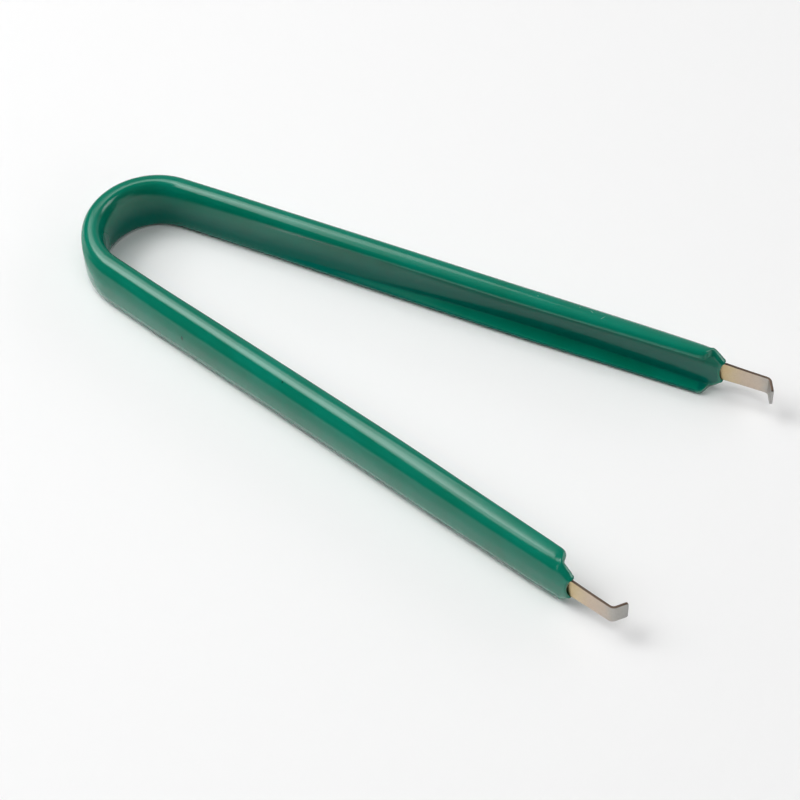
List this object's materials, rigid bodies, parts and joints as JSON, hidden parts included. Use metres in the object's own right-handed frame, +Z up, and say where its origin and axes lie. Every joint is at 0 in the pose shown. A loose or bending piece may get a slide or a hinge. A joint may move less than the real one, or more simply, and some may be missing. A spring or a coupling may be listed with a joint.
{
  "type": "keyboard switch puller",
  "caption": "U-shaped spring strip in a thick dipped coating, lying on its edge, with bare tabs at the ends of its arms and short hooks turned inwards to lift a key switch from its plate.",
  "frame": {"origin": "middle of the footprint's bounding box, on the surface that the puller rests on", "axes": "+X from the bend to the hooked tips, Y across the two arms, +Z up; the puller lies on the long edges of its arms"},
  "size_m": [0.1242, 0.0554, 0.0112],
  "materials": {
    "spring_steel": "thin bare spring steel, warm grey with a straw heat tint towards the coating, darker along its cut edges",
    "dipped_vinyl": "thick glossy blue-green dip coating, smooth, with rounded edges and a drawn-in end on each tab"
  },
  "bodies": {
    "root": {"steel_strip": "spring_steel", "vinyl_coating": "dipped_vinyl"}
  },
  "joints": []
}
